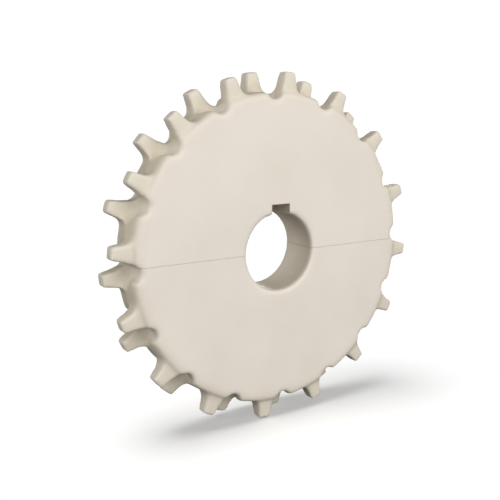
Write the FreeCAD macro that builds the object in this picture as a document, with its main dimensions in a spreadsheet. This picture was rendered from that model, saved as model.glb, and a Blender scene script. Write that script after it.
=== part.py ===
import FreeCAD, Part
import math
import os

import Sketcher

# A split sprocket that drives a modular plastic belt, sawn along its axis into an upper and
# a lower half, with the two screws that clamp the halves on a keyed shaft.
# The shaft axis is Y, the front face looks to -Y, +Z is up and the split plane is Z = 0.
# Lengths are in millimetres, angles in degrees.

# Largest distance at which two sketch points count as one
TOLERANCE = 1e-3

# Driving dimensions: alias, value, what it is
DIMENSIONS = [
    ("pitch_count", 16, "belt pitches round the sprocket"),
    ("belt_pitch", 25.4, "distance from one belt bar to the next"),
    ("bar_seat", 5.1, "pitch circle down to the floor between the teeth"),
    ("tooth_rise", 2.4, "pitch circle up to the tooth tips"),
    ("stagger", 4.8, "angle of a tooth row from the notch line"),
    ("disc_width", 18.2, "over both side faces"),
    ("face_round", 2.0, "rounding of the rim at the side faces"),
    ("rim_crown", 0.6, "rise of the rim from its sides to its middle"),
    ("bore_diameter", 30.0, "shaft bore"),
    ("bore_chamfer", 0.8, "chamfer of the bore at the side faces"),
    ("key_width", 8.0, "keyway width"),
    ("key_height", 18.3, "shaft axis to the keyway's top"),
    ("split_gap", 0.3, "saw cut between the halves"),
    ("tip_width", 4.6, "tooth tip along the rim"),
    ("tip_length", 5.2, "tooth tip along the axis"),
    ("tip_setback", 2.0, "tooth tip behind its side face"),
    ("neck_width", 6.0, "tooth along the rim where its flanks start to flare"),
    ("neck_height", 3.2, "start of the flare above the rim"),
    ("foot_width", 10.0, "tooth foot along the rim"),
    ("foot_setback", 1.6, "tooth foot behind its side face"),
    ("foot_sink", 2.6, "depth of the tooth root below the rim"),
    ("flank_round", 4.4, "hollow of the flare"),
    ("side_round", 14.0, "hollow of the tooth side that faces the other row"),
    ("notch_depth", 2.7, "notch floor below the rim"),
    ("notch_radius", 3.5, "notch round its floor"),
    ("notch_shift", 2.2, "notch centre from the notch line, along the rim"),
    ("notch_lip", 0.9, "sloped end of the notch floor at the side face"),
    ("notch_straight", 5.0, "straight stretch of the notch, with its lip"),
    ("fan_radius", 5.4, "notch at its widest, before the other tooth row"),
    ("fan_shift", 4.0, "its centre from the notch line, along the rim"),
    ("fan_start", 0.5, "widest place before the middle plane"),
    ("fan_end", 1.6, "end of the notch past the middle plane"),
    ("nose_radius", 3.2, "notch at its end"),
    ("screw_offset", 31.5, "clamp screw from the shaft axis"),
    ("screw_stagger", 3.6, "clamp screw from the middle plane"),
    ("screw_diameter", 4.0, "clamp screw thread"),
    ("screw_length", 30.0, "clamp screw under its head"),
    ("head_diameter", 7.0, "cap head"),
    ("head_height", 4.0, "cap head"),
    ("socket_width", 3.0, "hexagon socket across its flats"),
    ("socket_depth", 2.0, "hexagon socket"),
    ("hole_clearance", 0.25, "clearance round the screw and its head"),
    ("seat_depth", 22.0, "split plane down to the screw head's seat"),
    ("insert_diameter", 5.6, "thread insert"),
    ("insert_length", 8.0, "thread insert"),
    ("insert_recess", 0.5, "insert behind the split face"),
    ("hole_spare", 3.0, "hole depth behind the insert"),
    ("end_chamfer", 0.4, "chamfer at the ends of screw and insert"),
]

START, END, CENTRE = 1, 2, 3
ORIGIN = (-1, 1)
FRONT, BACK = 1, -1
LEFT, RIGHT = -1, 1

# The rounded side edge is turned in short flats between these angles from the side face
EDGE_TURNS = (0, 30, 60, 90)

# Sizes that follow from the driving dimensions, as expressions on the sheet
HALF_WIDTH = "(Sheet.disc_width / 2)"
HALF_GAP = "(Sheet.split_gap / 2)"
BORE_RADIUS = "(Sheet.bore_diameter / 2)"
PITCH_ANGLE = "(360 deg / Sheet.pitch_count)"
PITCH_RADIUS = "(Sheet.belt_pitch / 2 / sin(180 deg / Sheet.pitch_count))"
RIM_RADIUS = f"({PITCH_RADIUS} - Sheet.bar_seat)"
TIP_RADIUS = f"({PITCH_RADIUS} + Sheet.tooth_rise)"
OUTSIDE = f"({TIP_RADIUS} + Sheet.face_round)"
FOOT_SIDE = f"({HALF_WIDTH} - Sheet.foot_setback)"
TIP_SIDE = f"({HALF_WIDTH} - Sheet.tip_setback)"
NOTCH_FLOOR = f"({RIM_RADIUS} - Sheet.notch_depth)"
SCREW_RADIUS = "(Sheet.screw_diameter / 2)"
SCREW_HOLE = f"({SCREW_RADIUS} + Sheet.hole_clearance)"
HEAD_RADIUS = "(Sheet.head_diameter / 2)"
HEAD_HOLE = f"({HEAD_RADIUS} + Sheet.hole_clearance)"
INSERT_RADIUS = "(Sheet.insert_diameter / 2)"

doc = FreeCAD.newDocument("split_sprocket")
sheet = doc.addObject("Spreadsheet::Sheet", "Sheet")
for row, (alias, value, meaning) in enumerate(DIMENSIONS, start=1):
    sheet.set(f"A{row}", meaning)
    sheet.set(f"B{row}", str(value))
    sheet.setAlias(f"B{row}", alias)
doc.recompute()


def number(expression):
    """The present value of an expression on the sheet."""
    value = sheet.evalExpression(str(expression))
    return getattr(value, "Value", value)


def vector(x, y):
    return FreeCAD.Vector(x, y, 0)


def origin_feature(body, role):
    """One of a body's own origin planes or axes."""
    return next(item for item in body.Origin.OriginFeatures if item.Role == role)


def new_sketch(body, name, role):
    sketch = body.newObject("Sketcher::SketchObject", name)
    sketch.AttachmentSupport = [(origin_feature(body, role), "")]
    sketch.MapMode = "FlatFace"
    return sketch


def bind(sketch, kind, *spec):
    """One dimension of a sketch: the last item of spec is its expression."""
    *places, expression = spec
    index = sketch.addConstraint(Sketcher.Constraint(kind, *places, number(expression)))
    sketch.setExpression(f"Constraints[{index}]", str(expression))


def pin(sketch, geometry, point, x, y):
    """Hold a point of a sketch at its distances from the sketch's origin."""
    bind(sketch, "DistanceX", *ORIGIN, geometry, point, x)
    bind(sketch, "DistanceY", *ORIGIN, geometry, point, y)


def arc_through(start, end, radius, bulge):
    """An arc that leaves its chord to the right of its way (bulge 1) or to the left (-1)."""
    chord = end - start
    right = vector(chord.y, -chord.x).normalize()
    sagitta = radius - math.sqrt(max(radius ** 2 - (chord.Length / 2) ** 2, 0))
    return Part.Arc(start, (start + end) / 2 + right * (sagitta * bulge), end)


def outline(sketch, points, arcs=None):
    """A closed outline through points, each an (x, y) pair of expressions.

    arcs gives the radius and the bulge of each edge that is an arc, by the number of
    the point where it starts.
    """
    arcs = arcs or {}
    places = [vector(number(x), number(y)) for x, y in points]
    edges = []
    for index, start in enumerate(places):
        end = places[(index + 1) % len(places)]
        if index in arcs:
            radius, bulge = arcs[index]
            curve = arc_through(start, end, number(radius), bulge)
        else:
            curve = Part.LineSegment(start, end)
        edge = sketch.addGeometry(curve, False)
        turned = sketch.getPoint(edge, START).distanceToPoint(start) > TOLERANCE
        edges.append((edge, END, START) if turned else (edge, START, END))
    for index, (edge, first, last) in enumerate(edges):
        following, following_first, _ = edges[(index + 1) % len(edges)]
        sketch.addConstraint(
            Sketcher.Constraint("Coincident", edge, last, following, following_first)
        )
        pin(sketch, edge, first, *points[index])
        if index in arcs:
            bind(sketch, "Radius", edge, arcs[index][0])


def circle(sketch, x, y, radius):
    place = vector(number(x), number(y))
    edge = sketch.addGeometry(Part.Circle(place, FreeCAD.Vector(0, 0, 1), number(radius)), False)
    pin(sketch, edge, CENTRE, x, y)
    bind(sketch, "Radius", edge, radius)


def rectangle_points(left, right, bottom, top):
    return [(left, bottom), (right, bottom), (right, top), (left, top)]


def new_body(name):
    body = doc.addObject("PartDesign::Body", name)
    body.Label = name
    return body


def turned(body, name, sketch, angle="360 deg", reverse=False):
    """A solid turned about the sketch's vertical axis."""
    feature = body.newObject("PartDesign::Revolution", name)
    feature.Profile = sketch
    feature.ReferenceAxis = (sketch, ["V_Axis"])
    feature.Reversed = reverse
    feature.setExpression("Angle", angle)
    return feature


def pocket(body, name, sketch, depth=None, reverse=False, both_ways=False):
    """A pocket against the sketch's normal, through everything where no depth is given."""
    feature = body.newObject("PartDesign::Pocket", name)
    feature.Profile = sketch
    feature.Reversed = reverse
    feature.Midplane = both_ways
    if depth is None:
        feature.Type = "ThroughAll"
    else:
        feature.setExpression("Length", depth)
    return feature


def round_pattern(body, name, original, count, angle):
    """Copies of a feature round the shaft axis, towards the top from the right."""
    feature = body.newObject("PartDesign::PolarPattern", name)
    feature.Originals = [original]
    feature.Axis = (origin_feature(body, "Y_Axis"), [""])
    feature.Reversed = True
    feature.setExpression("Angle", angle)
    feature.setExpression("Occurrences", count)
    body.Tip = feature
    return feature


def edge_place(limit, ratio, turn):
    """A place on the rounded side edge, as far from the limit as the ratio leaves."""
    return f"({limit} - Sheet.face_round * (1 - {ratio}({turn} deg)))"


def disc_blank(body):
    """Half of the turned disc, with eased side edges and a slightly crowned rim."""
    sketch = new_sketch(body, f"{body.Name}_section", "XY_Plane")
    bore_edge = f"({BORE_RADIUS} + Sheet.bore_chamfer)"
    bore_end = f"({HALF_WIDTH} - Sheet.bore_chamfer)"
    side = [
        (edge_place(RIM_RADIUS, "sin", turn), edge_place(HALF_WIDTH, "cos", turn))
        for turn in EDGE_TURNS
    ]
    front = [(radius, f"-{depth}") for radius, depth in side]
    points = [(BORE_RADIUS, bore_end), (BORE_RADIUS, f"-{bore_end}"), (bore_edge, f"-{HALF_WIDTH}")]
    points += front + [(f"({RIM_RADIUS} + Sheet.rim_crown)", "0")] + side[::-1]
    points.append((bore_edge, HALF_WIDTH))
    outline(sketch, points)
    return turned(body, f"{body.Name}_blank", sketch, "180 deg", reverse=True)


def tooth_row(body, row):
    """One row of teeth with hollow flanks, from the middle plane to the teeth's outer side."""
    name = f"{body.Name}_{'front' if row == FRONT else 'back'}_tooth"
    angle = f"({PITCH_ANGLE} - Sheet.stagger * 1 deg)" if row == FRONT else "(Sheet.stagger * 1 deg)"
    sketch = new_sketch(body, f"{name}_section", "XZ_Plane")
    sketch.AttachmentOffset = FreeCAD.Placement(
        FreeCAD.Vector(), FreeCAD.Rotation(FreeCAD.Vector(0, 0, 1), number(angle))
    )
    sketch.setExpression("AttachmentOffset.Rotation.Angle", angle)
    root = f"({RIM_RADIUS} - Sheet.foot_sink)"
    neck = f"({RIM_RADIUS} + Sheet.neck_height)"
    tip_half, neck_half, foot_half = (f"(Sheet.{size}_width / 2)" for size in ("tip", "neck", "foot"))
    points = [
        (root, f"-{foot_half}"), (RIM_RADIUS, f"-{foot_half}"),
        (neck, f"-{neck_half}"), (TIP_RADIUS, f"-{tip_half}"),
        (TIP_RADIUS, tip_half), (neck, neck_half),
        (RIM_RADIUS, foot_half), (root, foot_half),
    ]
    outline(sketch, points, {1: ("Sheet.flank_round", -1), 5: ("Sheet.flank_round", -1)})
    tooth = body.newObject("PartDesign::Pad", name)
    tooth.Profile = sketch
    tooth.Reversed = row == BACK
    tooth.setExpression("Length", FOOT_SIDE)
    round_pattern(body, f"{name}_pattern", tooth, "Sheet.pitch_count / 2", f"180 deg - {PITCH_ANGLE}")


def tooth_sides(body):
    """Turned cuts that hollow the teeth towards the middle plane and slant their outer sides."""
    sketch = new_sketch(body, f"{body.Name}_side_sections", "XY_Plane")
    inside = f"({TIP_SIDE} - Sheet.tip_length)"
    valley = [
        (f"{RIM_RADIUS} + Sheet.rim_crown", "0"), (TIP_RADIUS, f"-{inside}"),
        (OUTSIDE, f"-{inside}"), (OUTSIDE, inside), (TIP_RADIUS, inside),
    ]
    outline(sketch, valley, {0: ("Sheet.side_round", 1), 4: ("Sheet.side_round", 1)})
    for side in ("-", ""):
        slant = [
            (RIM_RADIUS, f"{side}{FOOT_SIDE}"), (TIP_RADIUS, f"{side}{TIP_SIDE}"),
            (OUTSIDE, f"{side}{TIP_SIDE}"), (OUTSIDE, f"{side}{HALF_WIDTH}"),
            (RIM_RADIUS, f"{side}{HALF_WIDTH}"),
        ]
        outline(sketch, slant)
    cut = body.newObject("PartDesign::Groove", f"{body.Name}_tooth_sides")
    cut.Profile = sketch
    cut.ReferenceAxis = (sketch, ["V_Axis"])
    cut.Angle = 360
    body.Tip = cut


def notch_row(body, row):
    """The round notches in one side of the rim, which fan out towards the other side's teeth."""
    name = f"{body.Name}_{'front' if row == FRONT else 'back'}_notch"
    shift, radius = "Sheet.notch_shift", "Sheet.notch_radius"
    lip_floor = f"({NOTCH_FLOOR} - Sheet.notch_lip)"
    stations = [
        (f"({HALF_WIDTH} + Sheet.face_round)", shift, radius, lip_floor),
        (HALF_WIDTH, shift, radius, lip_floor),
        (f"({HALF_WIDTH} - Sheet.notch_lip)", shift, radius, NOTCH_FLOOR),
        (f"({HALF_WIDTH} - Sheet.notch_straight)", shift, radius, NOTCH_FLOOR),
        ("Sheet.fan_start", "Sheet.fan_shift", "Sheet.fan_radius", NOTCH_FLOOR),
        ("(-Sheet.fan_end)", "Sheet.fan_shift", "Sheet.nose_radius",
         f"({NOTCH_FLOOR} + Sheet.fan_radius - Sheet.nose_radius)"),
    ]
    sections = []
    for index, (depth, along, size, floor) in enumerate(stations):
        sketch = new_sketch(body, f"{name}_section_{index}", "XZ_Plane")
        sketch.setExpression("AttachmentOffset.Base.z", f"{depth} * {row}")
        circle(sketch, f"{floor} + {size}", f"{along} * {row}", size)
        sections.append(sketch)
    cutter = body.newObject("PartDesign::SubtractiveLoft", name)
    cutter.Profile = sections[0]
    cutter.Sections = sections[1:]
    cutter.Ruled = True
    round_pattern(body, f"{name}_pattern", cutter, "Sheet.pitch_count / 2 + 1", "180 deg")


def saw_cut(body):
    """Everything below the saw cut's edge is taken away."""
    sketch = new_sketch(body, f"{body.Name}_split", "XY_Plane")
    sketch.setExpression("AttachmentOffset.Base.z", HALF_GAP)
    outline(sketch, rectangle_points(f"-{OUTSIDE}", OUTSIDE, f"-{OUTSIDE}", OUTSIDE))
    pocket(body, f"{body.Name}_saw_cut", sketch, OUTSIDE)


def keyway(body):
    sketch = new_sketch(body, "keyway_section", "XZ_Plane")
    half = "(Sheet.key_width / 2)"
    outline(sketch, rectangle_points(f"-{half}", half, "0", "Sheet.key_height"))
    pocket(body, "keyway", sketch, "Sheet.disc_width * 2", both_ways=True)


def screw_place(side):
    """The right screw stands in the front half of the width, the left one in the back half."""
    return f"Sheet.screw_offset * {side}", f"Sheet.screw_stagger * {-side}"


def upright_holes(body, name, level, radius, depth=None):
    """Holes at both screws, from a level upwards in the body's own frame."""
    sketch = new_sketch(body, f"{name}_circles", "XY_Plane")
    sketch.setExpression("AttachmentOffset.Base.z", level)
    turn = -1 if body.Label == "lower_half" else 1
    for side in (LEFT, RIGHT):
        across, along = screw_place(side)
        circle(sketch, f"{across} * {turn}", along, radius)
    pocket(body, name, sketch, depth, reverse=True)


def sprocket_half(name):
    """One half of the toothed disc above the split plane, without key and screw holes."""
    body = new_body(name)
    disc_blank(body)
    for row in (FRONT, BACK):
        tooth_row(body, row)
    tooth_sides(body)
    for row in (FRONT, BACK):
        notch_row(body, row)
    saw_cut(body)
    return body


def build_upper_half():
    body = sprocket_half("upper_half")
    keyway(body)
    upright_holes(
        body, "insert_holes", HALF_GAP, INSERT_RADIUS,
        "Sheet.insert_recess + Sheet.insert_length + Sheet.hole_spare",
    )
    return body


def build_lower_half():
    """The lower half is made like the upper one and then turned half a turn about the shaft."""
    body = sprocket_half("lower_half")
    upright_holes(body, "screw_holes", HALF_GAP, SCREW_HOLE)
    upright_holes(body, "head_holes", "Sheet.seat_depth", HEAD_HOLE)
    body.Placement = FreeCAD.Placement(
        FreeCAD.Vector(), FreeCAD.Rotation(FreeCAD.Vector(0, 1, 0), 180)
    )
    return body


def stand_at_screw(body, side):
    across, along = screw_place(side)
    body.setExpression("Placement.Base.x", across)
    body.setExpression("Placement.Base.y", along)


def build_screw(name, side):
    """A cap screw with its head below, and a hexagon socket."""
    body = new_body(name)
    sketch = new_sketch(body, f"{name}_section", "XZ_Plane")
    chamfer = "Sheet.end_chamfer"
    seat = "(-Sheet.seat_depth)"
    under = f"({seat} - Sheet.head_height)"
    tip = f"({seat} + Sheet.screw_length)"
    points = [
        ("0", under), (f"{HEAD_RADIUS} - {chamfer}", under), (HEAD_RADIUS, f"{under} + {chamfer}"),
        (HEAD_RADIUS, seat), (SCREW_RADIUS, seat), (SCREW_RADIUS, f"{tip} - {chamfer}"),
        (f"{SCREW_RADIUS} - {chamfer}", tip), ("0", tip),
    ]
    outline(sketch, points)
    turned(body, f"{name}_form", sketch)
    socket = new_sketch(body, f"{name}_hexagon", "XY_Plane")
    socket.setExpression("AttachmentOffset.Base.z", under)
    corner = "Sheet.socket_width / sqrt(3)"
    corners = [(f"{corner} * cos({turn} deg)", f"{corner} * sin({turn} deg)") for turn in range(0, 360, 60)]
    outline(socket, corners)
    pocket(body, f"{name}_socket", socket, "Sheet.socket_depth", reverse=True)
    stand_at_screw(body, side)
    return body


def build_insert(name, side):
    """A thread insert with chamfered ends, pressed into the upper half."""
    body = new_body(name)
    sketch = new_sketch(body, f"{name}_section", "XZ_Plane")
    chamfer = "Sheet.end_chamfer"
    bottom = f"({HALF_GAP} + Sheet.insert_recess)"
    top = f"({bottom} + Sheet.insert_length)"
    points = [
        (SCREW_RADIUS, bottom), (f"{INSERT_RADIUS} - {chamfer}", bottom),
        (INSERT_RADIUS, f"{bottom} + {chamfer}"), (INSERT_RADIUS, f"{top} - {chamfer}"),
        (f"{INSERT_RADIUS} - {chamfer}", top), (SCREW_RADIUS, top),
    ]
    outline(sketch, points)
    turned(body, f"{name}_form", sketch)
    stand_at_screw(body, side)
    return body


bodies = [build_upper_half(), build_lower_half()]
for side_name, side in (("left", LEFT), ("right", RIGHT)):
    bodies.append(build_screw(f"screw_{side_name}", side))
    bodies.append(build_insert(f"insert_{side_name}", side))
doc.recompute()

for item in doc.Objects:
    if "Invalid" in item.State or "Error" in item.State:
        raise RuntimeError(f"{item.Label} failed: {item.State}")
for body in bodies:
    if body.Shape.isNull() or not body.Shape.isValid():
        raise RuntimeError(f"{body.Label} has no valid shape")

os.makedirs("parts", exist_ok=True)
for body in bodies:
    body.Shape.exportStep(os.path.join("parts", f"{body.Label}.step"))
    print(body.Label, len(body.Shape.Solids), round(body.Shape.Volume, 1), len(body.Shape.Faces))
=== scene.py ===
import math

import bpy
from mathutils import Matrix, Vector


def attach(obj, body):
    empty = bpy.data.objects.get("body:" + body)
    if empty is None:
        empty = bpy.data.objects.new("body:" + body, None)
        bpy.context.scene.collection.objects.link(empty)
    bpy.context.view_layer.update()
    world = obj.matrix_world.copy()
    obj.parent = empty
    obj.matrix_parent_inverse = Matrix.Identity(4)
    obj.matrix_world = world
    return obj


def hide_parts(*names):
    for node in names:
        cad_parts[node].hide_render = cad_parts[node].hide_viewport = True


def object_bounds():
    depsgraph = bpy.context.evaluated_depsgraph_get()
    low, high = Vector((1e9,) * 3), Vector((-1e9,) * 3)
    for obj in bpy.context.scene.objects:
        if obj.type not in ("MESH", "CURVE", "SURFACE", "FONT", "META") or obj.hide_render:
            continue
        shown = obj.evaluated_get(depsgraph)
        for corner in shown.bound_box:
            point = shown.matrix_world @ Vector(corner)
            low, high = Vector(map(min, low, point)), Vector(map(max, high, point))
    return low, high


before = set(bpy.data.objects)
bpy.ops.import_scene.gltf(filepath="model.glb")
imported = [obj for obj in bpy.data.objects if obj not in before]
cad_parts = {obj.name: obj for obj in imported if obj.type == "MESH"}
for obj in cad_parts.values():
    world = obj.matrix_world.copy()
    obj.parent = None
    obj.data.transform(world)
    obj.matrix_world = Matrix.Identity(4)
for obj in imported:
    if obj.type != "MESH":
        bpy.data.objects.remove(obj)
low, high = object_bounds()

# A split sprocket for a modular belt, moulded in cream plastic, seen from the front left.
# Lengths are in metres: the shaft axis is Y, the front face looks to -Y and +Z is up.

MM = 0.001

# The split plane lies between the halves, each this far from it in the solids and as shown
HALF_GAP = 0.15 * MM
SHOWN_GAP = 0.05 * MM
JOIN_OVERLAP = 0.01 * MM
CUT_TOLERANCE = 0.001 * MM
PLANE_TOLERANCE = 0.01 * MM
MERGE_DISTANCE = 0.0001 * MM

BORE_RADIUS = 15.0 * MM
KEYWAY_SIDE = 4.0 * MM
KEYWAY_TOP = 18.3 * MM

# Everything outside this radius belongs to the rim, whose edges are soft from the mould
RIM_START = 54.0 * MM
RIM_FADE = 2.0 * MM
TOOTH_ROOT = 61.5 * MM
TIP_FADE = 2.5 * MM
TIP_SHARPNESS = 0.2
# The bore's edge is soft too, up to the first radius and then fading to the second, but not at the keyway
BORE_EDGE = (18.0 * MM, 20.0 * MM)
KEYWAY_ROOM = 2.0 * MM
KEYWAY_START = 12.0 * MM

# Even faces all over the disc, and how often and how far each soft place is smoothed
CELL_DEPTH = 8
CELL_SCALE = 0.9
CELL_MERGE = 0.2 * MM
CLEANING_ROUNDS = 3
RIM_SOFTNESS = 24
SMOOTH_STEP = 0.5
SMOOTH_ANGLE = math.radians(72)

# The photograph's camera
CAMERA_TARGET = Vector((-8.134, 0.0, 0.082)) * MM
CAMERA_DISTANCE = 269.15 * MM
CAMERA_AZIMUTH = math.radians(-32.31)
CAMERA_ELEVATION = math.radians(10.78)
CAMERA_LENS = 50.0

FLOOR_LEVEL = low[2]
FLOOR_RADIUS = 1.5
FLOOR_WHITE = 0.98
FLOOR_ROUGHNESS = 0.9
FLOOR_GLOW = 0.37
FLOOR_BOUNCE = 0.16
AMBIENT = 0.13
BACKDROP = 1.05
# Soft light on the object from the front, weaker light from its left and from behind,
# and an even light from above that only draws the shadow on the floor
KEY_PLACE = Vector((-0.06, -0.95, 0.42))
KEY_SIZE = (2.3, 1.1)
KEY_POWER = 19.8
FILL_PLACE = Vector((-1.10, 0.36, 0.20))
FILL_SIZE = (0.6, 0.6)
FILL_POWER = 4.6
REAR_PLACE = Vector((0.95, 0.72, 0.0))
REAR_SIZE = (0.7, 0.5)
REAR_POWER = 7.0
SHADE_FROM = Vector((-0.22, 0.04, 1.0))
SHADE_STRENGTH = 1.75
SHADE_ANGLE = math.radians(36)

# The plain colours of the three materials, and the darker ones in their marks
PLASTIC = (0.765, 0.702, 0.621)
PLASTIC_DARK = (0.735, 0.669, 0.586)
# Painted shade: the rim is painted darker and yellower than the faces, most in the recesses between the
# rows of teeth, less at the tooth tips
WHITE = (1.0, 1.0, 1.0)
PAINTED_SHADE_RADII = (55.0 * MM, 75.0 * MM)
SHADED_RECESS_SIDES = (4.0 * MM, 8.5 * MM)
RIM_PAINTED_SHADE = (0.925, 0.918, 0.865)
RECESS_PAINTED_SHADE = (0.780, 0.765, 0.680)
TIP_PAINTED_SHADE = (0.960, 0.957, 0.925)
# The bored wall is darker than the moulded faces, partly its own machined tone and partly painted shade,
# and the keyway's walls are darker still, in painted shade
BORE_TONE_AND_SHADE = (0.830, 0.815, 0.765)
KEYWAY_PAINTED_SHADE = (0.66, 0.63, 0.57)
WALL_MARGIN = 0.1 * MM
WALL_FADE = 0.3 * MM
STEEL = (0.52, 0.52, 0.51)
STEEL_DARK = (0.40, 0.40, 0.395)
BRASS = (0.62, 0.44, 0.19)
BRASS_DARK = (0.50, 0.34, 0.14)


def select_only(*objects):
    bpy.ops.object.select_all(action="DESELECT")
    for obj in objects:
        obj.select_set(True)
    bpy.context.view_layer.objects.active = objects[0]


def apply_modifier(obj, kind, **settings):
    """Adds a modifier to the object, sets it up and applies it."""
    select_only(obj)
    modifier = obj.modifiers.new(kind.title(), kind)
    for name, value in settings.items():
        setattr(modifier, name, value)
    bpy.ops.object.modifier_apply(modifier=modifier.name)


def select_vertices(obj, wanted):
    """In object mode, selects the vertices whose place meets the test, and nothing else."""
    select_only(obj)
    bpy.ops.object.mode_set(mode="EDIT")
    bpy.ops.mesh.select_mode(type="VERT")
    bpy.ops.mesh.select_all(action="DESELECT")
    bpy.ops.object.mode_set(mode="OBJECT")
    chosen = [wanted(vertex.co) for vertex in obj.data.vertices]
    obj.data.vertices.foreach_set("select", chosen)


def merged_copy(node, name):
    """A copy of a CAD node's mesh at the origin, with its loose triangles merged."""
    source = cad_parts[node]
    mesh = source.data.copy()
    mesh.transform(source.matrix_world)
    obj = bpy.data.objects.new(name, mesh)
    bpy.context.collection.objects.link(obj)
    select_only(obj)
    bpy.ops.object.mode_set(mode="EDIT")
    bpy.ops.mesh.select_all(action="SELECT")
    bpy.ops.mesh.remove_doubles(threshold=MERGE_DISTANCE)
    bpy.ops.object.mode_set(mode="OBJECT")
    return obj


def whole_disc():
    """Both halves joined over the saw cut, so that the rim can be softened across it."""
    upper = merged_copy("upper_half", "upper_blank")
    lower = merged_copy("lower_half", "lower_blank")
    for obj, side in ((upper, 1), (lower, -1)):
        select_vertices(obj, lambda place: abs(place.z - side * HALF_GAP) < PLANE_TOLERANCE)
        bpy.ops.object.mode_set(mode="EDIT")
        bpy.ops.transform.translate(value=(0, 0, -side * (HALF_GAP + JOIN_OVERLAP)))
        bpy.ops.object.mode_set(mode="OBJECT")
    apply_modifier(upper, "BOOLEAN", object=lower, operation="UNION", solver="EXACT")
    bpy.data.objects.remove(lower)
    return upper


def between(value, start, end):
    """How far the value is on its way from start (0) to end (1)."""
    return min(max((value - start) / (end - start), 0.0), 1.0)


def softness(place):
    """How soft the mould leaves a place: rim and bore edge most, tooth tips less, the rest sharp."""
    radius = math.hypot(place.x, place.z)
    if radius > RIM_START:
        rim = between(radius, RIM_START, RIM_START + RIM_FADE)
        return rim * (1 - TIP_SHARPNESS * between(radius, TOOTH_ROOT, TOOTH_ROOT + TIP_FADE))
    keyway = abs(place.x) < KEYWAY_SIDE + KEYWAY_ROOM and place.z > KEYWAY_START
    return 0.0 if keyway else 1 - between(radius, *BORE_EDGE)


def soften_rim(obj):
    """Fine even faces all over, and soft moulded edges on teeth and notches."""
    apply_modifier(
        obj, "REMESH", mode="SHARP", octree_depth=CELL_DEPTH,
        scale=CELL_SCALE, use_remove_disconnected=False,
    )
    select_vertices(obj, lambda place: RIM_START < math.hypot(place.x, place.z) < TOOTH_ROOT)
    bpy.ops.object.mode_set(mode="EDIT")
    bpy.ops.mesh.remove_doubles(threshold=CELL_MERGE)
    bpy.ops.mesh.select_mode(type="EDGE")
    for _ in range(CLEANING_ROUNDS):
        bpy.ops.mesh.select_all(action="DESELECT")
        bpy.ops.mesh.select_non_manifold(
            extend=False, use_wire=True, use_boundary=True,
            use_multi_face=True, use_non_contiguous=False, use_verts=False,
        )
        bpy.ops.mesh.merge(type="COLLAPSE")
    bpy.ops.object.mode_set(mode="OBJECT")
    group = obj.vertex_groups.new(name="rim")
    for vertex in obj.data.vertices:
        weight = softness(vertex.co)
        if weight > 0:
            group.add([vertex.index], weight, "REPLACE")
    apply_modifier(obj, "SMOOTH", factor=SMOOTH_STEP, iterations=RIM_SOFTNESS, vertex_group="rim")
    obj.vertex_groups.clear()


def half_of(disc, name, side):
    """The part of the disc above (side 1) or below (side -1) the saw cut."""
    half = disc.copy()
    half.data = disc.data.copy()
    half.name = name
    bpy.context.collection.objects.link(half)
    select_only(half)
    bpy.ops.object.mode_set(mode="EDIT")
    bpy.ops.mesh.select_all(action="SELECT")
    bpy.ops.mesh.bisect(
        plane_co=(0, 0, side * SHOWN_GAP), plane_no=(0, 0, side),
        clear_inner=True, use_fill=True, threshold=CUT_TOLERANCE,
    )
    bpy.ops.mesh.select_all(action="SELECT")
    bpy.ops.mesh.normals_make_consistent(inside=False)
    bpy.ops.object.mode_set(mode="OBJECT")
    select_only(half)
    bpy.ops.object.shade_smooth_by_angle(angle=SMOOTH_ANGLE)
    return half


def new_look(name):
    """An empty material with its shader."""
    material = bpy.data.materials.new(name)
    material.use_nodes = True
    nodes = material.node_tree.nodes
    return material, nodes, material.node_tree.links, nodes["Principled BSDF"]


def mapped(nodes, links, stretch=(1, 1, 1)):
    """Object coordinates, stretched along the axes."""
    place = nodes.new("ShaderNodeTexCoord")
    mapping = nodes.new("ShaderNodeMapping")
    mapping.inputs["Scale"].default_value = stretch
    links.new(place.outputs["Object"], mapping.inputs["Vector"])
    return mapping.outputs["Vector"]


def noise(nodes, links, vector, scale, detail=3.0, roughness=0.5):
    """A cloudy value between 0 and 1."""
    texture = nodes.new("ShaderNodeTexNoise")
    texture.inputs["Scale"].default_value = scale
    texture.inputs["Detail"].default_value = detail
    texture.inputs["Roughness"].default_value = roughness
    links.new(vector, texture.inputs["Vector"])
    return texture.outputs["Fac"]


def ramp(nodes, links, value, stops):
    """Colours along a value: stops are (position, colour) pairs."""
    node = nodes.new("ShaderNodeValToRGB")
    elements = node.color_ramp.elements
    while len(elements) < len(stops):
        elements.new(1.0)
    for element, (position, colour) in zip(elements, stops):
        element.position = position
        element.color = (*colour, 1)
    links.new(value, node.inputs["Fac"])
    return node.outputs["Color"]


def to_range(nodes, links, value, low_end, high_end, start=0.3, end=0.7):
    """The value carried over from the stretch between start and end to the one between the two ends."""
    node = nodes.new("ShaderNodeMapRange")
    node.inputs["From Min"].default_value = start
    node.inputs["From Max"].default_value = end
    node.inputs["To Min"].default_value = low_end
    node.inputs["To Max"].default_value = high_end
    links.new(value, node.inputs["Value"])
    return node.outputs["Result"]


def multiplied(nodes, links, colour, factor):
    """A colour times a grey value."""
    node = nodes.new("ShaderNodeMix")
    node.data_type = "RGBA"
    node.blend_type = "MULTIPLY"
    node.inputs["Factor"].default_value = 1.0
    links.new(colour, node.inputs["A"])
    links.new(factor, node.inputs["B"])
    return node.outputs["Result"]


def product(nodes, links, first, second):
    """One value times another."""
    node = nodes.new("ShaderNodeMath")
    node.operation = "MULTIPLY"
    links.new(first, node.inputs[0])
    links.new(second, node.inputs[1])
    return node.outputs["Value"]


def added(nodes, links, first, second, weight):
    """The first value plus the second one times its weight."""
    node = nodes.new("ShaderNodeMath")
    node.operation = "MULTIPLY_ADD"
    node.inputs[1].default_value = weight
    links.new(second, node.inputs[0])
    links.new(first, node.inputs[2])
    return node.outputs["Value"]


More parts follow.
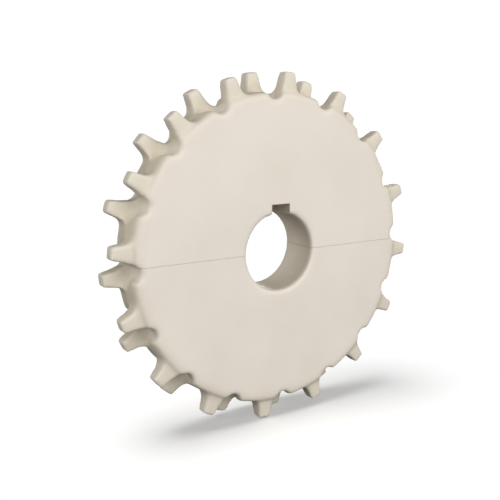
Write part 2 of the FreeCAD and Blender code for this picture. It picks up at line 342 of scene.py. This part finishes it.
def bumped(nodes, links, height, shader, strength, distance):
    """Raises the shader's surface by the height."""
    node = nodes.new("ShaderNodeBump")
    node.inputs["Strength"].default_value = strength
    node.inputs["Distance"].default_value = distance
    links.new(height, node.inputs["Height"])
    links.new(node.outputs["Normal"], shader.inputs["Normal"])


def painted_shade_by_place(nodes, links, place):
    """Painted shade by place on the disc: darker and yellower rim, recesses and tooth tips, and a darker
    keyway; the bore darker too, partly its own machined tone and partly painted shade.
    """
    radius = nodes.new("ShaderNodeVectorMath")
    radius.operation = "LENGTH"
    links.new(mapped(nodes, links, (1, 0, 1)), radius.inputs[0])
    outward = to_range(nodes, links, radius.outputs["Value"], 0.0, 1.0, *PAINTED_SHADE_RADII)
    # Painted shade: darker and yellower outwards on the rim, deepest in the recesses between the rows of
    # teeth
    edges = ramp(nodes, links, outward, ((0.0, WHITE), (0.28, RIM_PAINTED_SHADE), (0.90, TIP_PAINTED_SHADE)))
    recesses = ramp(nodes, links, outward, ((0.05, WHITE), (0.26, RECESS_PAINTED_SHADE), (0.72, TIP_PAINTED_SHADE)))

    axes = nodes.new("ShaderNodeSeparateXYZ")
    links.new(place, axes.inputs["Vector"])
    across = nodes.new("ShaderNodeMath")
    across.operation = "ABSOLUTE"
    links.new(axes.outputs["Y"], across.inputs[0])
    recess_shade_depth = to_range(nodes, links, across.outputs["Value"], 1.0, 0.0, *SHADED_RECESS_SIDES)

    painted_shade_tint = nodes.new("ShaderNodeMix")
    painted_shade_tint.data_type = "RGBA"
    links.new(recess_shade_depth, painted_shade_tint.inputs["Factor"])
    links.new(edges, painted_shade_tint.inputs["A"])
    links.new(recesses, painted_shade_tint.inputs["B"])

    # Bore wall darker, partly its own machined tone and partly painted shade; keyway darker still, in
    # painted shade
    bore_wall = to_range(
        nodes, links, radius.outputs["Value"], 0.0, 1.0,
        BORE_RADIUS + WALL_MARGIN, BORE_RADIUS + WALL_MARGIN + 2 * WALL_FADE,
    )
    bore_tone_and_shade = ramp(nodes, links, bore_wall, ((0.0, BORE_TONE_AND_SHADE), (1.0, WHITE)))
    sideways = nodes.new("ShaderNodeMath")
    sideways.operation = "ABSOLUTE"
    links.new(axes.outputs["X"], sideways.inputs[0])
    keyway = None
    for value, start, end in (
        (sideways.outputs["Value"], KEYWAY_SIDE + WALL_MARGIN + WALL_FADE, KEYWAY_SIDE + WALL_MARGIN),
        (axes.outputs["Z"], KEYWAY_TOP + WALL_MARGIN + WALL_FADE, KEYWAY_TOP + WALL_MARGIN),
        (axes.outputs["Z"], BORE_RADIUS - 2 * WALL_FADE, BORE_RADIUS),
    ):
        within = to_range(nodes, links, value, 0.0, 1.0, start, end)
        keyway = within if keyway is None else product(nodes, links, keyway, within)
    keyway_painted_shade = ramp(nodes, links, keyway, ((0.0, WHITE), (1.0, KEYWAY_PAINTED_SHADE)))
    walls = multiplied(nodes, links, bore_tone_and_shade, keyway_painted_shade)
    return multiplied(nodes, links, painted_shade_tint.outputs["Result"], walls)


def plastic_look():
    """Cream moulded plastic: soft clouds, fine grain, faint turning rings, a few scuffs, and painted shade
    on rim, recesses and keyway, with the bore darker partly in its own tone and partly in painted shade.
    """
    material, nodes, links, shader = new_look("moulded_plastic_look")
    place = mapped(nodes, links)
    clouds = noise(nodes, links, place, 42.0, 4.0)
    grain = noise(nodes, links, place, 2600.0, 2.0)
    scuffs = noise(nodes, links, mapped(nodes, links, (1, 1, 0.12)), 520.0, 5.0, 0.7)
    rings = nodes.new("ShaderNodeTexWave")
    rings.wave_type = "RINGS"
    rings.rings_direction = "Y"
    rings.inputs["Scale"].default_value = 420.0
    rings.inputs["Distortion"].default_value = 1.2
    rings.inputs["Detail"].default_value = 2.0
    links.new(place, rings.inputs["Vector"])

    # Painted shade on rim, recesses and keyway; the bore partly its own darker tone, partly painted shade
    painted_shade_tint = painted_shade_by_place(nodes, links, place)
    colour = ramp(nodes, links, clouds, ((0.30, PLASTIC_DARK), (0.62, PLASTIC)))
    colour = multiplied(nodes, links, colour, painted_shade_tint)
    colour = multiplied(nodes, links, colour, to_range(nodes, links, grain, 0.975, 1.0))
    colour = multiplied(nodes, links, colour, to_range(nodes, links, scuffs, 0.965, 1.0, 0.24, 0.36))
    links.new(colour, shader.inputs["Base Color"])
    links.new(to_range(nodes, links, clouds, 0.42, 0.54), shader.inputs["Roughness"])
    height = added(nodes, links, grain, rings.outputs["Fac"], 0.10)
    height = added(nodes, links, height, scuffs, 0.35)
    bumped(nodes, links, height, shader, 0.30, 0.03 * MM)
    shader.inputs["IOR"].default_value = 1.48
    return material


def metal_look(name, bright, dark, stretch, roughness):
    """Metal with brushed or turned lines along its stretch and a mottled sheen."""
    material, nodes, links, shader = new_look(name)
    lines = noise(nodes, links, mapped(nodes, links, stretch), 900.0, 4.0, 0.65)
    mottle = noise(nodes, links, mapped(nodes, links), 320.0, 3.0)
    colour = ramp(nodes, links, lines, ((0.32, dark), (0.66, bright)))
    colour = multiplied(nodes, links, colour, to_range(nodes, links, mottle, 0.88, 1.0))
    links.new(colour, shader.inputs["Base Color"])
    links.new(to_range(nodes, links, lines, roughness - 0.08, roughness + 0.10), shader.inputs["Roughness"])
    bumped(nodes, links, lines, shader, 0.35, 0.02 * MM)
    shader.inputs["Metallic"].default_value = 1.0
    return material


def dress(node, material):
    """Gives a CAD node a better material, through its object's own slot."""
    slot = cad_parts[node].material_slots[0]
    slot.link = "OBJECT"
    slot.material = material


disc = whole_disc()
soften_rim(disc)
plastic = plastic_look()
for node, side in (("upper_half", 1), ("lower_half", -1)):
    half = half_of(disc, f"{node}_moulded", side)
    half.data.materials.clear()
    half.data.materials.append(plastic)
    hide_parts(node)
    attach(half, "root")
bpy.data.objects.remove(disc)

steel = metal_look("screw_steel_look", STEEL, STEEL_DARK, (1, 1, 0.15), 0.34)
brass = metal_look("insert_brass_look", BRASS, BRASS_DARK, (0.15, 0.15, 1), 0.30)
for side in ("left", "right"):
    dress(f"screw_{side}", steel)
    dress(f"insert_{side}", brass)


def new_light(kind, name, place, power):
    """A light at the place, shining on the origin."""
    bpy.ops.object.light_add(type=kind, location=place)
    light = bpy.context.object
    light.name = name
    light.data.energy = power
    light.rotation_euler = (-place).to_track_quat("-Z", "Y").to_euler()
    return light


def studio():
    """A white floor, an even pale surround and soft lights from the front, left, back and above."""
    bpy.ops.object.select_all(action="DESELECT")
    bpy.ops.mesh.primitive_circle_add(
        vertices=96, radius=FLOOR_RADIUS, fill_type="NGON", location=(0, 0, FLOOR_LEVEL)
    )
    floor = bpy.context.object
    floor.name = "floor"
    pale = bpy.data.materials.new("floor_white")
    pale.use_nodes = True
    nodes, links = pale.node_tree.nodes, pale.node_tree.links
    shader = nodes["Principled BSDF"]
    shader.inputs["Base Color"].default_value = (FLOOR_WHITE, FLOOR_WHITE, FLOOR_WHITE, 1)
    shader.inputs["Roughness"].default_value = FLOOR_ROUGHNESS
    shader.inputs["Specular IOR Level"].default_value = 0.0
    shader.inputs["Emission Color"].default_value = (1, 1, 1, 1)
    shader.inputs["Emission Strength"].default_value = FLOOR_GLOW
    dim = nodes.new("ShaderNodeBsdfDiffuse")
    dim.inputs["Color"].default_value = (FLOOR_BOUNCE, FLOOR_BOUNCE, FLOOR_BOUNCE, 1)
    seen = nodes.new("ShaderNodeLightPath")
    mix = nodes.new("ShaderNodeMixShader")
    links.new(seen.outputs["Is Camera Ray"], mix.inputs["Fac"])
    links.new(dim.outputs["BSDF"], mix.inputs[1])
    links.new(shader.outputs["BSDF"], mix.inputs[2])
    links.new(mix.outputs["Shader"], nodes["Material Output"].inputs["Surface"])
    floor.data.materials.append(pale)

    world = bpy.data.worlds.new("surround")
    world.use_nodes = True
    nodes, links = world.node_tree.nodes, world.node_tree.links
    ambient = nodes["Background"]
    ambient.inputs["Color"].default_value = (1, 1, 1, 1)
    ambient.inputs["Strength"].default_value = AMBIENT
    shown = nodes.new("ShaderNodeBackground")
    shown.inputs["Color"].default_value = (1, 1, 1, 1)
    shown.inputs["Strength"].default_value = BACKDROP
    seen = nodes.new("ShaderNodeLightPath")
    mix = nodes.new("ShaderNodeMixShader")
    links.new(seen.outputs["Is Camera Ray"], mix.inputs["Fac"])
    links.new(ambient.outputs["Background"], mix.inputs[1])
    links.new(shown.outputs["Background"], mix.inputs[2])
    links.new(mix.outputs["Shader"], nodes["World Output"].inputs["Surface"])
    bpy.context.scene.world = world

    shade = new_light("SUN", "shade", SHADE_FROM, SHADE_STRENGTH)
    shade.data.angle = SHADE_ANGLE
    floor_only = bpy.data.collections.new("floor_only")
    floor_only.objects.link(floor)
    shade.light_linking.receiver_collection = floor_only

    all_but_floor = bpy.data.collections.new("all_but_floor")
    all_but_floor.objects.link(floor)
    all_but_floor.collection_objects[0].light_linking.link_state = "EXCLUDE"
    for name, place, size, power in (
        ("key", KEY_PLACE, KEY_SIZE, KEY_POWER),
        ("fill", FILL_PLACE, FILL_SIZE, FILL_POWER),
        ("rear", REAR_PLACE, REAR_SIZE, REAR_POWER),
    ):
        panel = new_light("AREA", name, place, power)
        panel.data.shape = "RECTANGLE"
        panel.data.size, panel.data.size_y = size
        panel.light_linking.receiver_collection = all_but_floor


def photo_camera():
    """The camera at the photograph's place and angle."""
    away = Vector((
        math.sin(CAMERA_AZIMUTH) * math.cos(CAMERA_ELEVATION),
        -math.cos(CAMERA_AZIMUTH) * math.cos(CAMERA_ELEVATION),
        math.sin(CAMERA_ELEVATION),
    ))
    bpy.ops.object.camera_add(location=CAMERA_TARGET + away * CAMERA_DISTANCE)
    camera = bpy.context.object
    camera.rotation_euler = (-away).to_track_quat("-Z", "Y").to_euler()
    camera.data.lens = CAMERA_LENS
    camera.data.sensor_width = 36.0
    camera.data.clip_start = 0.01
    bpy.context.scene.camera = camera


studio()
photo_camera()
bpy.context.scene.view_settings.view_transform = "Standard"
